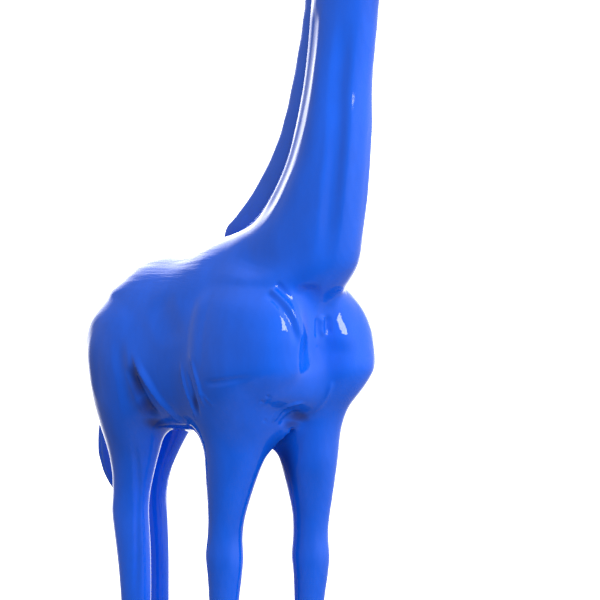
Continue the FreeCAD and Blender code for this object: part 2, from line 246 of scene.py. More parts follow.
def step_at(leg, z):
    """How far a leg is stepped at height z: in full below the knee or hock, none at the body."""
    joint_z = KNEE_Z if leg.startswith("front") else HOCK_Z
    down = np.clip((BODY_TOP_Z - z) / (BODY_TOP_Z - joint_z), 0.0, 1.0)
    share = down + STEP_EASE * down * down * (1 - down)
    return STEP[leg][0] * share, STEP[leg][1] * share


def side_of(leg):
    return 1.0 if leg.endswith("left") else -1.0


# ---------------------------------------------------------------- the head's own frame
def head_place(spots):
    """Carries points from the head's frame, nose along -Y from the poll, to the tables' frame."""
    spots = np.atleast_2d(np.array(spots, dtype=np.float64))
    c, s = math.cos(HEAD_PITCH), math.sin(HEAD_PITCH)
    y = spots[:, 1] * c - spots[:, 2] * s
    z = spots[:, 1] * s + spots[:, 2] * c
    return np.stack([spots[:, 0], y, z], axis=1) + np.array(POLL)


def head_turn(vector):
    return head_place(vector)[0] - np.array(POLL)


def world(points):
    """Tables' frame, millimetres, to the statue's frame, metres."""
    return np.asarray(points) * MM + np.array([0, Y0, 0])


def ellipsoid(x, y, z, centre, radii):
    u, v, w = (x - centre[0]) / radii[0], (y - centre[1]) / radii[1], (z - centre[2]) / radii[2]
    k = np.sqrt(u * u + v * v + w * w)
    g = np.sqrt((u / radii[0]) ** 2 + (v / radii[1]) ** 2 + (w / radii[2]) ** 2)
    return k * (k - 1) / np.maximum(g, 1e-5)


def tube_through(x, y, z, path, radius):
    """Distance to a round tube along straight runs between the points of a path."""
    best = None
    for a, b in zip(path[:-1], path[1:]):
        run = [b[k] - a[k] for k in range(3)]
        length = sum(r * r for r in run)
        t = ((x - a[0]) * run[0] + (y - a[1]) * run[1] + (z - a[2]) * run[2]) / length
        t = np.clip(t, 0, 1)
        gap = (x - a[0] - t * run[0]) ** 2 + (y - a[1] - t * run[1]) ** 2
        gap = gap + (z - a[2] - t * run[2]) ** 2
        best = gap if best is None else np.minimum(best, gap)
    return np.sqrt(best) - radius


# ---------------------------------------------------------------- distance field of the body
FAR = 400.0                   # distance held where nothing has been built
BODY_VOXEL, HEAD_VOXEL, HOOF_VOXEL = 9.0, 6.0, 3.0
# how widely each form runs into what is already there
NECK_BLEND, FRONT_BLEND, HIND_BLEND = 90.0, 70.0, 60.0
BREAST_BLEND, FORK_BLEND, HEAD_BLEND = 60.0, 12.0, 46.0
LID_R, LID_BLEND = 4.2, 7.0
NOSTRIL_R, NOSTRIL_BLEND = 5.0, 5.0


class Field:
    """A block of space, in millimetres, holding distance to the surface being built."""

    def __init__(self, low, high, voxel):
        self.low, self.voxel = np.array(low, dtype=np.float64), voxel
        self.count = np.ceil((np.array(high) - self.low) / voxel).astype(int) + 1
        self.axes = [self.low[k] + voxel * np.arange(self.count[k]) for k in range(3)]
        self.value = np.full(self.count, FAR, dtype=np.float32)

    def window(self, low, high):
        """Slices and broadcast coordinates of the part of the block between two corners."""
        cut = []
        for k in range(3):
            a = int(np.clip(np.floor((low[k] - self.low[k]) / self.voxel), 0, self.count[k] - 1))
            b = int(np.clip(np.ceil((high[k] - self.low[k]) / self.voxel) + 1, a + 1, self.count[k]))
            cut.append(slice(a, b))
        x, y, z = (self.axes[k][cut[k]].astype(np.float32) for k in range(3))
        return tuple(cut), x[:, None, None], y[None, :, None], z[None, None, :]

    def join(self, cut, distance, blend):
        old = self.value[cut]
        h = np.clip(0.5 + 0.5 * (old - distance) / blend, 0.0, 1.0)
        self.value[cut] = old + (distance - old) * h - blend * h * (1 - h)

    def carve(self, cut, distance, blend):
        """Takes a shape away, with a rounded edge."""
        old, other = self.value[cut], -distance
        h = np.clip(0.5 - 0.5 * (old - other) / blend, 0.0, 1.0)
        self.value[cut] = old + (other - old) * h + blend * h * (1 - h)

    def mesh(self, level=0.0):
        """Points in metres in the statue's frame, and quads, at one distance from the surface."""
        grid = openvdb.FloatGrid(FAR)
        grid.copyFromArray(self.value)
        points, quads = grid.convertToQuads(isovalue=level)
        return world(points.astype(np.float64) * self.voxel + self.low), quads.astype(np.int64)


def oval(u, v, a, b, power=2.0):
    """Distance to an oval of half sizes a and b, near enough close to its edge."""
    s, t = np.abs(u) / a, np.abs(v) / b
    if power == 2.0:
        k = np.sqrt(s * s + t * t)
        g = np.sqrt((s / a) ** 2 + (t / b) ** 2) / np.maximum(k, 1e-4)
    else:
        k = (s ** power + t ** power) ** (1 / power)
        g = np.sqrt((s ** (power - 1) / a) ** 2 + (t ** (power - 1) / b) ** 2)
        g = g / np.maximum(k, 1e-4) ** (power - 1)
    return (k - 1) / np.maximum(g, 1e-4)


def capped(side, ends):
    """Closes a swept distance with flat ends: ends is the distance beyond them."""
    outside = np.sqrt(np.maximum(side, 0) ** 2 + np.maximum(ends, 0) ** 2)
    return np.where((side > 0) & (ends > 0), outside, np.maximum(side, ends))


def add_column(field, rows, blend, leg=None, egg=0.0, reach=90.0):
    """Joins a shape given by level sections: z, x, half width, front y, back y."""
    curve = eased(rows, LIMB_SPREAD)
    zs = [row[0] for row in rows]
    fine = curve(np.linspace(min(zs), max(zs), 60))
    sign = side_of(leg) if leg else 1.0
    shift = np.abs(STEP[leg]).max() if leg else 0.0
    low = [-fine[:, 0].max() - fine[:, 1].max(), fine[:, 2].min(), min(zs)]
    high = [fine[:, 0].max() + fine[:, 1].max(), fine[:, 3].max(), max(zs)]
    if leg:
        low[0], high[0] = (-30.0, high[0]) if sign > 0 else (low[0], 30.0)
    low = [low[0] - reach, low[1] - reach - shift, low[2] - reach]
    high = [high[0] + reach, high[1] + reach + shift, high[2] + reach]
    cut, x, y, z = field.window(low, high)
    xc, half, front, back = (c.astype(np.float32)[None, None, :] for c in curve(z[0, 0]).T)
    if leg:
        out, back_step = step_at(leg, z)
        xc, front, back = sign * (xc + out), front + back_step, back + back_step
    v = (y - (front + back) / 2) / ((back - front) / 2)
    wide = half * (1 - egg * np.clip(v, -1, 1))
    side = oval(x - xc, y - (front + back) / 2, wide, (back - front) / 2)
    ends = np.maximum(min(zs) - z, z - max(zs))
    field.join(cut, capped(side, ends).astype(np.float32), blend)


def add_trunk(field):
    curve = eased(TRUNK, LIMB_SPREAD)
    ys = [row[0] for row in TRUNK]
    cut, x, y, z = field.window([-310, ys[0] - 90, 810], [310, ys[-1] + 90, 1560])
    top, bottom, half, z_mid = (c.astype(np.float32)[None, :, None] for c in curve(y[0, :, 0]).T)
    tall = np.where(z > z_mid, top - z_mid, z_mid - bottom)
    side = oval(x, z - z_mid, half, tall, TRUNK_ROUNDNESS)
    ends = np.maximum(ys[0] - y, y - ys[-1])
    field.join(cut, capped(side, ends).astype(np.float32), 1.0)


# single forms on the middle line, then forms on both sides: centre, radii, blend
HEAD_MIDDLE = [
    ((0, -64, 26), (24, 40, 17), 24),        # rise of the forehead
    ((0, -190, -12), (24, 120, 17), 26),     # bridge of the nose
    ((0, -338, -72), (40, 54, 32), 26),      # muzzle
    ((0, -375, -68), (31, 17, 19), 14),      # upper lip
    ((0, -348, -105), (27, 30, 13), 10),     # lower lip and chin
    ((0, -160, -112), (26, 100, 20), 26),    # between the jaw bones
]
HEAD_SIDES = [
    ((42, -100, 2), (20, 46, 17), 20),       # brow
    ((46, -50, -86), (27, 58, 46), 28),      # cheek
    ((31, -20, 12), (25, 25, 20), 20),       # seat of the horn
    ((48, 4, -24), (20, 20, 20), 16),        # seat of the ear
    ((27, -352, -52), (18, 28, 16), 12),     # pad of the nostril
    ((34, -232, -66), (17, 60, 20), 22),     # upper jaw
]
EYE_SPOT, EYE_R = (47.0, -118.0, -24.0), 22.0
SOCKET = ((70, -118, -24), (19, 30, 19), 14)
NOSTRIL = [(36, -340, -44), (43, -352, -52), (42, -364, -62)]
UPPER_LID = [(53, -147, -28), (63, -136, -11), (68, -120, -3), (67, -104, -7), (58, -89, -22)]
LOWER_LID = [(53, -147, -28), (63, -134, -39), (67, -118, -45), (66, -103, -40), (58, -89, -26)]


def add_head(field):
    low, high = [-125, -880, 1990], [125, -330, 2450]
    cut, x, y, z = field.window(low, high)
    c, s = math.cos(HEAD_PITCH), math.sin(HEAD_PITCH)
    dy, dz = y - POLL[1], z - POLL[2]
    ahead, up = -(c * dy + s * dz), c * dz - s * dy
    along = [row[0] for row in HEAD]
    top, bottom, half = np.moveaxis(pchip(HEAD)(ahead), -1, 0).astype(np.float32)
    z_mid = 0.45 * top + 0.55 * bottom
    tall = np.where(up > z_mid, top - z_mid, z_mid - bottom)
    side = oval(x, up - z_mid, half, tall, 2.15)
    ends = np.maximum(min(along) - ahead, ahead - max(along))
    field.join(cut, capped(side, ends).astype(np.float32), HEAD_BLEND)
    spot = -ahead
    for centre, radii, blend in HEAD_MIDDLE:
        field.join(cut, ellipsoid(x, spot, up, centre, radii), blend)
    wide = np.abs(x)
    for centre, radii, blend in HEAD_SIDES:
        field.join(cut, ellipsoid(wide, spot, up, centre, radii), blend)
    centre, radii, blend = SOCKET
    field.carve(cut, ellipsoid(wide, spot, up, centre, radii), blend)
    for lid in (UPPER_LID, LOWER_LID):
        field.join(cut, tube_through(wide, spot, up, lid, LID_R), LID_BLEND)
    field.carve(cut, tube_through(wide, spot, up, NOSTRIL, NOSTRIL_R), NOSTRIL_BLEND)


BREAST = ((0, -315, 1080), (84, 45, 58))     # fills the breast between the shoulders
FORK = ((0, -215, 858), (17, 180, 110))      # room between the front legs, under the brisket


def add_neck(field):
    rows = [(z, 0.0, half, front, back) for z, front, back, half in NECK]
    add_column(field, rows, NECK_BLEND, egg=NECK_EGG, reach=130.0)


def around(field, centre, radii, margin):
    return field.window(np.subtract(centre, radii) - margin, np.add(centre, radii) + margin)


def body_field():
    field = Field((-262, -900, 40), (262, 560, 2440), BODY_VOXEL)
    add_trunk(field)
    add_neck(field)
    for leg in LEGS:
        if leg.startswith("front"):
            add_column(field, FRONT_LEG, FRONT_BLEND, leg=leg)
        else:
            add_column(field, HIND_LEG, HIND_BLEND, leg=leg)
    cut, x, y, z = around(field, *BREAST, 90)
    field.join(cut, ellipsoid(x, y, z, *BREAST), BREAST_BLEND)
    cut, x, y, z = around(field, *FORK, 60)
    field.carve(cut, ellipsoid(x, y, z, *FORK), FORK_BLEND)
    add_head(field)
    return field


def head_field():
    """The head and the top of the neck, finer than the body."""
    field = Field((-130, -880, 1960), (130, -330, 2440), HEAD_VOXEL)
    add_neck(field)
    add_head(field)
    return field


# ---------------------------------------------------------------- meshes in numpy
def smooth_mesh(points, quads, rounds):
    """Evens out a mesh along and across its surface without shrinking it."""
    edges = np.concatenate([quads[:, [0, 1]], quads[:, [1, 2]], quads[:, [2, 3]], quads[:, [3, 0]]])
    n = len(points)
    count = np.bincount(edges.ravel(), minlength=n).astype(np.float64)[:, None]
    for i in range(2 * rounds):
        total = np.zeros_like(points)
        for k in range(3):
            total[:, k] = (np.bincount(edges[:, 0], points[edges[:, 1], k], n)
                           + np.bincount(edges[:, 1], points[edges[:, 0], k], n))
        move = total / count - points
        points = points + move * (0.5 if i % 2 == 0 else -0.52)
    return points


def vertex_normals(points, quads):
    a, b, c, d = (points[quads[:, k]] for k in range(4))
    face = np.cross(c - a, d - b)
    normals = np.zeros_like(points)
    for corner in range(4):
        for k in range(3):
            normals[:, k] += np.bincount(quads[:, corner], face[:, k], len(points))
    return normals / np.maximum(np.linalg.norm(normals, axis=1), 1e-12)[:, None]


def finer(points, quads):
    """Subdivides a mesh once, as a smooth surface."""
    mesh = bpy.data.meshes.new("finer")
    mesh.from_pydata(points.tolist(), [], quads.tolist())
    obj = placed("finer", mesh)
    modifier = obj.modifiers.new("finer", "SUBSURF")
    modifier.levels = modifier.render_levels = 1
    bpy.context.view_layer.update()
    made = obj.evaluated_get(bpy.context.evaluated_depsgraph_get()).to_mesh()
    surface = Surface.of_mesh(made)
    bpy.data.objects.remove(obj)
    bpy.data.meshes.remove(mesh)
    return surface.points, surface.corners.reshape(-1, 4)


# ---------------------------------------------------------------- sculpting strokes
def smooth_path(path, count):
    """Points spread along a smooth curve through the given ones."""
    path = np.array(path, dtype=np.float64)
    if len(path) == 2:
        return path[0] + (path[1] - path[0]) * np.linspace(0, 1, count)[:, None]
    run = np.concatenate([[0], np.cumsum(np.linalg.norm(np.diff(path, axis=0), axis=1))])
    ahead = np.gradient(path, run, axis=0)
    q = np.linspace(0, run[-1], count)
    i = np.clip(np.searchsorted(run, q) - 1, 0, len(run) - 2)
    h = (run[i + 1] - run[i])[:, None]
    t = ((q - run[i])[:, None]) / h
    return hermite(t, path[i], path[i + 1], h * ahead[i], h * ahead[i + 1])


def fade(t, ends):
    """1 along a stroke, easing to 0 over the given share of it at each end."""
    start = np.clip(t / max(ends[0], 1e-6), 0, 1)
    stop = np.clip((1 - t) / max(ends[1], 1e-6), 0, 1)
    return start * start * (3 - 2 * start) * stop * stop * (3 - 2 * stop)


def nearest_on(path, points):
    """Distance to a path, how far along it the nearest point is (0 to 1), and the offset."""
    best = np.full(len(points), 1e9)
    along = np.zeros(len(points))
    offset = np.zeros_like(points)
    n = len(path) - 1
    for i in range(n):
        a, d = path[i], path[i + 1] - path[i]
        t = np.clip((points - a) @ d / max(d @ d, 1e-9), 0, 1)
        gap = points - a - t[:, None] * d
        dist = np.einsum("ij,ij->i", gap, gap)
        closer = dist < best
        best[closer] = dist[closer]
        along[closer] = (i + t[closer]) / n
        offset[closer] = gap[closer]
    return np.sqrt(best), along, offset


def profile(kind, s, side):
    """Height of a stroke across its width: s is distance over width, side is -1 or 1."""
    inside = np.clip(1 - s, 0, 1)
    if kind == "soft":
        return np.clip(1 - s * s, 0, 1) ** 2
    if kind == "crease":
        return inside ** 2
    if kind == "ridge":
        return inside ** 1.5
    if kind == "fold":
        return inside * np.cos(1.5 * np.pi * s)
    # a lip: falls away slowly on the left of the path and sharply on its right
    slow = np.clip(1 - s * s, 0, 1) ** 2
    sharp = np.clip(1 - (s * 4.0) ** 2, 0, 1) ** 2
    return np.where(side > 0, slow, sharp)


def mirrored(path, limb):
    """A right-hand stroke's path on the left side, following that side's limb."""
    out = []
    for x, y, z in path:
        if limb:
            y += step_at(limb + "_left", z)[1] - step_at(limb + "_right", z)[1]
        out.append((-x, y, z))
    return out


def stroke(points, normals, path, width, height, kind="soft", limb=None, both=True, ends=(0.3, 0.3)):
    """Raises (or sinks, with a negative height) the surface along a path, in millimetres."""
    for way in [path, mirrored(path, limb)] if both else [path]:
        line = smooth_path(way, 12 + 6 * len(way))
        low, high = line.min(axis=0) - width, line.max(axis=0) + width
        near = np.where(np.all((points > low) & (points < high), axis=1))[0]
        if not len(near):
            continue
        distance, along, offset = nearest_on(line, points[near])
        step = np.gradient(line, axis=0)
        tangent = step[np.clip((along * (len(line) - 1)).astype(int), 0, len(line) - 1)]
        side = np.sign(np.einsum("ij,ij->i", np.cross(tangent, normals[near]), offset))
        if way[0][0] * path[0][0] < 0:
            side = -side
        amount = profile(kind, distance / width, side) * fade(along, ends) * height
        points[near] += normals[near] * amount[:, None]


class Surface:
    """Polygons of any size held as flat numpy arrays."""

    def __init__(self, points, corners, sizes):
        self.points, self.corners, self.sizes = points, corners, sizes
        self.starts = np.concatenate([[0], np.cumsum(sizes)[:-1]])

    @classmethod
    def of_mesh(cls, mesh):
        points = np.empty(len(mesh.vertices) * 3)
        mesh.vertices.foreach_get("co", points)
        corners = np.empty(len(mesh.loops), dtype=np.int64)
        mesh.loops.foreach_get("vertex_index", corners)
        sizes = np.empty(len(mesh.polygons), dtype=np.int64)
        mesh.polygons.foreach_get("loop_total", sizes)
        return cls(points.reshape(-1, 3), corners, sizes)

    def face_index(self):
        return np.repeat(np.arange(len(self.sizes)), self.sizes)

    def following(self):
        """For each corner, the next corner's vertex in its polygon."""
        nxt = np.arange(len(self.corners)) + 1
        nxt[self.starts + self.sizes - 1] = self.starts
        return self.corners[nxt]

    def centres(self):
        face = self.face_index()
        return np.stack([np.bincount(face, self.points[self.corners, k]) / self.sizes
                         for k in range(3)], axis=1)

    def normals(self):
        face = self.face_index()
        centre = self.centres()[face]
        a, b = self.points[self.corners] - centre, self.points[self.following()] - centre
        wedge = np.cross(a, b)
        whole = np.stack([np.bincount(face, wedge[:, k]) for k in range(3)], axis=1)
        out = np.stack([np.bincount(self.corners, whole[face, k], len(self.points))
                        for k in range(3)], axis=1)
        return out / np.maximum(np.linalg.norm(out, axis=1), 1e-12)[:, None]

    def part(self, mask):
        """The polygons in mask, with the indices of the points they use."""
        keep = np.repeat(mask, self.sizes)
        used, corners = np.unique(self.corners[keep], return_inverse=True)
        return Surface(self.points[used], corners, self.sizes[mask]), used


def thick_piece(name, surface, normals, wall):
    """A closed shell: the surface, its copy set in by the wall, and a rim between them."""
    n = len(surface.points)
    inner = surface.points - normals * wall
    start, end = surface.corners, surface.following()
    forward = set(zip(start.tolist(), end.tolist()))
    rim = sorted((a, b) for a, b in forward if (b, a) not in forward)
    faces = np.split(surface.corners, surface.starts[1:])
    polygons = [f.tolist() for f in faces]
    polygons += [(f[::-1] + n).tolist() for f in faces]
    polygons += [[b, a, a + n, b + n] for a, b in rim]
    mesh = bpy.data.meshes.new(name)
    mesh.from_pydata(np.concatenate([surface.points, inner]).tolist(), [], polygons)
    shade_smooth(mesh)
    loops = [normals[surface.corners], -normals[np.concatenate([f[::-1] for f in faces])]]
    for a, b in rim:
        way = surface.points[b] - surface.points[a]
        face_normal = np.cross(normals[a], way)
        face_normal /= max(np.linalg.norm(face_normal), 1e-12)
        loops.append(np.tile(face_normal, (4, 1)))
    mesh.normals_split_custom_set(np.concatenate(loops).tolist())
    return placed(name, mesh)


def finish_piece(obj, node, material):
    obj.data.materials.append(material)
    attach(obj, "root")
    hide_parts(node)


# ---------------------------------------------------------------- materials
def map_range(tree, source, span, onto, smooth=False):
    """Carries a value from one span onto another, in a straight line or easing at both ends."""
    node = tree.nodes.new("ShaderNodeMapRange")
    if smooth:
        node.interpolation_type = "SMOOTHSTEP"
    for name, value in zip(("From Min", "From Max", "To Min", "To Max"), (*span, *onto)):
        node.inputs[name].default_value = value
    tree.links.new(source, node.inputs["Value"])
    return node.outputs["Result"]


def combine(tree, operation, a, b):
    node = tree.nodes.new("ShaderNodeMath")
    node.operation = operation
    tree.links.new(a, node.inputs[0])
    tree.links.new(b, node.inputs[1])
    return node.outputs["Value"]


def length_of(tree, source):
    node = tree.nodes.new("ShaderNodeVectorMath")
    node.operation = "LENGTH"
    tree.links.new(source, node.inputs[0])
    return node.outputs["Value"]


class Shader:
    """A node material with short calls for the nodes used below."""

    def __init__(self, name):
        self.material = bpy.data.materials.new(name)
        self.material.use_nodes = True
        self.tree = self.material.node_tree
        self.nodes, self.links = self.tree.nodes, self.tree.links
        self.out = self.nodes["Principled BSDF"]
        self.place = self.nodes.new("ShaderNodeTexCoord").outputs["Object"]

    def set(self, **values):
        for name, value in values.items():
            self.out.inputs[name.replace("_", " ")].default_value = value

    def noise(self, scale, detail=2.0, rough=0.5, stretch=None):
        node = self.nodes.new("ShaderNodeTexNoise")
        node.inputs["Scale"].default_value = scale
        node.inputs["Detail"].default_value = detail
        node.inputs["Roughness"].default_value = rough
        self.links.new(self.stretched(stretch), node.inputs["Vector"])
        return node.outputs["Fac"]

    def cells(self, scale):
        node = self.nodes.new("ShaderNodeTexVoronoi")
        node.inputs["Scale"].default_value = scale
        self.links.new(self.place, node.inputs["Vector"])
        return node.outputs["Distance"]

    def stretched(self, stretch):
        if stretch is None:
            return self.place
        node = self.nodes.new("ShaderNodeMapping")
        node.inputs["Scale"].default_value = stretch
        self.links.new(self.place, node.inputs["Vector"])
        return node.outputs["Vector"]

    def ramp(self, source, stops):
        node = self.nodes.new("ShaderNodeValToRGB")
        ramp = node.color_ramp
        while len(ramp.elements) < len(stops):
            ramp.elements.new(0.5)
        for element, (position, colour) in zip(ramp.elements, stops):
            element.position = position
            element.color = (*colour, 1)
        self.links.new(source, node.inputs["Fac"])
        return node.outputs["Color"]

    def span(self, source, low, high, out_low=0.0, out_high=1.0):
        return map_range(self.tree, source, (low, high), (out_low, out_high))

    def bump(self, source, distance, strength=1.0, under=None):
        node = self.nodes.new("ShaderNodeBump")
        node.inputs["Distance"].default_value = distance
        node.inputs["Strength"].default_value = strength
        self.links.new(source, node.inputs["Height"])
        if under is not None:
            self.links.new(under, node.inputs["Normal"])
        return node.outputs["Normal"]

    def link(self, source, name):
        self.links.new(source, self.out.inputs[name])

    def combine(self, operation, a, b):
        return combine(self.tree, operation, a, b)

    def axes(self):
        split = self.nodes.new("ShaderNodeSeparateXYZ")
        self.links.new(self.place, split.inputs[0])
        return split.outputs

    def patch(self, centre, reach):
        """1 in the middle of an oval patch, easing to 0 at its edge."""
        moved = self.nodes.new("ShaderNodeMapping")
        moved.inputs["Location"].default_value = [-c / r for c, r in zip(centre, reach)]
        moved.inputs["Scale"].default_value = [1 / r for r in reach]
        self.links.new(self.place, moved.inputs["Vector"])
        return map_range(self.tree, length_of(self.tree, moved.outputs["Vector"]),
                         (PATCH_CORE, 1.0), (1.0, 0.0), smooth=True)

    def blend(self, factor, a, b):
        node = self.nodes.new("ShaderNodeMix")
        node.data_type = "RGBA"
        self.links.new(factor, node.inputs[0])
        self.links.new(a, node.inputs[6])
        self.links.new(b, node.inputs[7])
        return node.outputs[2]


def scaled(colour, factor):
    return tuple(c * factor for c in colour)


PATCH_CORE = 0.15             # share of a patch's reach that is at full strength

# back-brushing: streaks above a level on the hindquarters, easing in over these spans, in metres
BRUSHED_Z, BRUSHED_Y = (1.30, 1.38), (-0.02, 0.06)

# painted shade: dark colour laid into the hollows, creases and armpits where shade falls: centre and reach
# in table units, strength
PAINTED_SHADE_SPOTS = [
    ((-214, 124, 1060), (48, 40, 92), 1.0),       # pocket behind the right flank
    ((-188, 114, 985), (64, 44, 62), 1.0),        # its lower end
    ((-150, 122, 935), (58, 44, 40), 1.0),
    ((0, -306, 988), (60, 34, 26), 1.0),          # under the brisket
    ((-196, -104, 1010), (18, 16, 62), 1.0),      # right armpit
    ((24, -236, 850), (36, 62, 120), 1.0),        # inside the advanced left foreleg
    ((-20, -300, 965), (40, 34, 22), 0.8),        # over the fork of the front legs
    ((-66, -408, 1215), (24, 40, 104), 0.36),     # breast furrow
]


def lacquer(name, base=(0.003, 0.112, 0.78)):
    """Deep blue two-pack lacquer over hand-faired laminate: fairing waves, orange peel, dust nibs, and
    painted shade darkening the hollows.
    """
    mat = Shader(name)
    mat.set(Roughness=0.42, IOR=1.5, Specular_IOR_Level=0.0, Coat_Weight=1.0,
            Coat_Roughness=0.03, Coat_IOR=1.5)
    _, y, z = mat.axes()
    # painted shade: the patches make a mask of the hollows, and inside it the coat is blended toward a deep
    # blue
    dark = None
    for centre, reach, strength in PAINTED_SHADE_SPOTS:
        patch = mat.patch(world(centre).tolist(), [r * MM for r in reach])
        patch = mat.span(patch, 0.0, 1.0, 0.0, strength)
        dark = patch if dark is None else mat.combine("MAXIMUM", dark, patch)
    drift = mat.noise(4.0, 5.0, 0.6, stretch=(1, 1, 0.45))
    coat = mat.ramp(drift, [(0.32, scaled(base, 0.8)), (0.68, scaled(base, 1.12))])
    painted_shade_colour = mat.ramp(drift, [(0.3, (0.008, 0.018, 0.15)), (0.7, (0.008, 0.03, 0.23))])
    mat.link(mat.blend(mat.span(dark, 0.0, 1.0, 0.0, 0.85), coat, painted_shade_colour), "Base Color")
    mat.link(mat.span(mat.noise(22.0, 4.0), 0.3, 0.7, 0.36, 0.48), "Roughness")
    waves = mat.bump(mat.noise(7.0, 1.0), 0.003, 0.22)
    back = mat.combine("MULTIPLY", mat.span(z, *BRUSHED_Z), mat.span(y, *BRUSHED_Y))
    brushed = mat.combine("MULTIPLY", mat.noise(34.0, 4.0, 0.6, stretch=(1, 0.1, 1)), back)
    combed = mat.bump(brushed, 0.006, 0.5, under=waves)
    peel = mat.bump(mat.noise(330.0, 1.0), 0.00006, 0.7, under=combed)
    nibs = mat.bump(mat.span(mat.cells(34.0), 0.0, 0.03, 1.0, 0.0), 0.0002, 0.4, under=peel)
    mat.link(nibs, "Normal")
    mat.link(nibs, "Coat Normal")
    return mat.material


def steel(name, colour=(0.24, 0.245, 0.26)):
    """Drawn mild steel with mill scale along its length."""
    mat = Shader(name)
    mat.set(Metallic=1.0)
    scale = mat.noise(60.0, 5.0, 0.6, stretch=(1, 1, 0.25))
    mat.link(mat.ramp(scale, [(0.35, scaled(colour, 0.55)), (0.65, colour)]), "Base Color")
    mat.link(mat.span(scale, 0.3, 0.7, 0.55, 0.3), "Roughness")
    mat.link(mat.bump(mat.noise(240.0, 3.0), 0.0003, 0.4), "Normal")
    return mat.material


def laminate(name):
    """Bare chopped-strand glass laminate, amber with pale strands."""
    mat = Shader(name)
    strands = mat.noise(90.0, 6.0, 0.7, stretch=(1, 4, 1))
    crossing = mat.noise(90.0, 6.0, 0.7, stretch=(4, 1, 2))
    mat.link(mat.ramp(strands, [(0.35, (0.33, 0.27, 0.13)), (0.65, (0.62, 0.57, 0.38))]), "Base Color")
    mat.link(mat.span(crossing, 0.3, 0.7, 0.3, 0.65), "Roughness")
    mat.link(mat.bump(crossing, 0.0008, 0.6), "Normal")
    return mat.material


def plywood(name):
    """Birch plywood: long grain with darker figure."""
    mat = Shader(name)
    grain = mat.noise(26.0, 8.0, 0.65, stretch=(0.6, 8, 6))
    mat.link(mat.ramp(grain, [(0.3, (0.34, 0.22, 0.11)), (0.7, (0.66, 0.5, 0.32))]), "Base Color")
    mat.link(mat.span(grain, 0.3, 0.7, 0.5, 0.75), "Roughness")
    mat.link(mat.bump(grain, 0.0004, 0.5), "Normal")
    return mat.material


def dress_hidden_pieces():
    """Gives every CAD piece that stays in view or inside its own material."""
    by_slot = {
        "frame_steel": steel("frame_steel"),
        "anchor_steel": steel("anchor_zinc", (0.62, 0.63, 0.66)),
        "bare_laminate": laminate("bare_laminate"),
        "rib_plywood": plywood("rib_plywood"),
    }
    for node, slot in hidden_slots().items():
        obj = frame["nodes"][node]
        obj.data.materials.clear()
        obj.data.materials.append(by_slot[slot])


def hidden_slots():
    starts = {
        "frame_steel": ("spine_tube", "neck_tube", "leg_rod", "hip_crossbar", "shoulder_crossbar"),
        "anchor_steel": ("hoof_anchor", "head_pins", "tail_pin"),
        "bare_laminate": ("torso_seam", "neck_seam", "head_seam", "leg_sleeve", "leg_plug"),
        "rib_plywood": ("torso_rib", "neck_rib", "head_rib"),
    }
    return {node: slot for slot, names in starts.items()
            for node in frame["nodes"] if node.startswith(names)}


# ---------------------------------------------------------------- building the skin
def neck_line(angle, low, high, count):
    """A line up the right side of the neck at one angle round its section from the side."""
    curve = eased(NECK, LIMB_SPREAD)
    c, s = math.cos(math.radians(angle)), math.sin(math.radians(angle))
    path = []
    for z in np.linspace(low, high, count):
        front, back, half = curve(z)
        wide = half * (1 - NECK_EGG * s)
        path.append((-wide * c, (front + back) / 2 + (back - front) / 2 * s, z))
    return path


